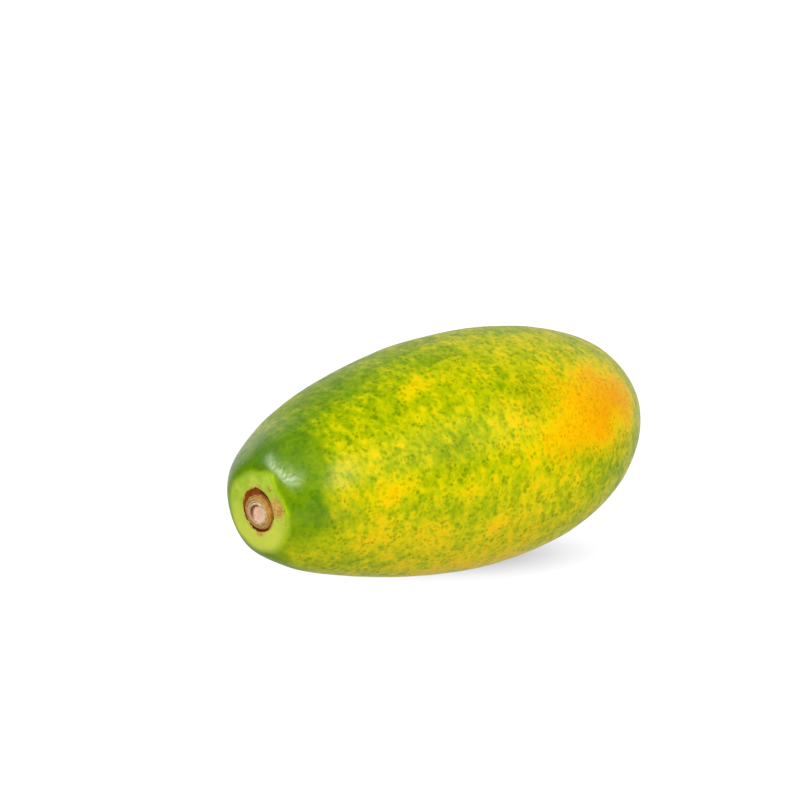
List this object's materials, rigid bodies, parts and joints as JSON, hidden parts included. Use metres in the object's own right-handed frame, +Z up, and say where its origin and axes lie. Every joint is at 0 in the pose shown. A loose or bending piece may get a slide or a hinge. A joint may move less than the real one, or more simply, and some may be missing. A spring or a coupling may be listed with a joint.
{
  "type": "papaya",
  "caption": "Whole ripening papaya lying on its side: long oval fruit with soft lobes, a blunt stem end with a round stem scar, and a tapered blossom end.",
  "frame": {"origin": "middle of the bounding box in X and Y, on the surface that the fruit rests on", "axes": "+X along the fruit from the stem end to the blossom end, +Z up from the flat spot that it rests on"},
  "size_m": [0.265, 0.1292, 0.1204],
  "materials": {
    "skin": "satin"
  },
  "bodies": {
    "root": {"fruit": "skin"}
  },
  "joints": []
}
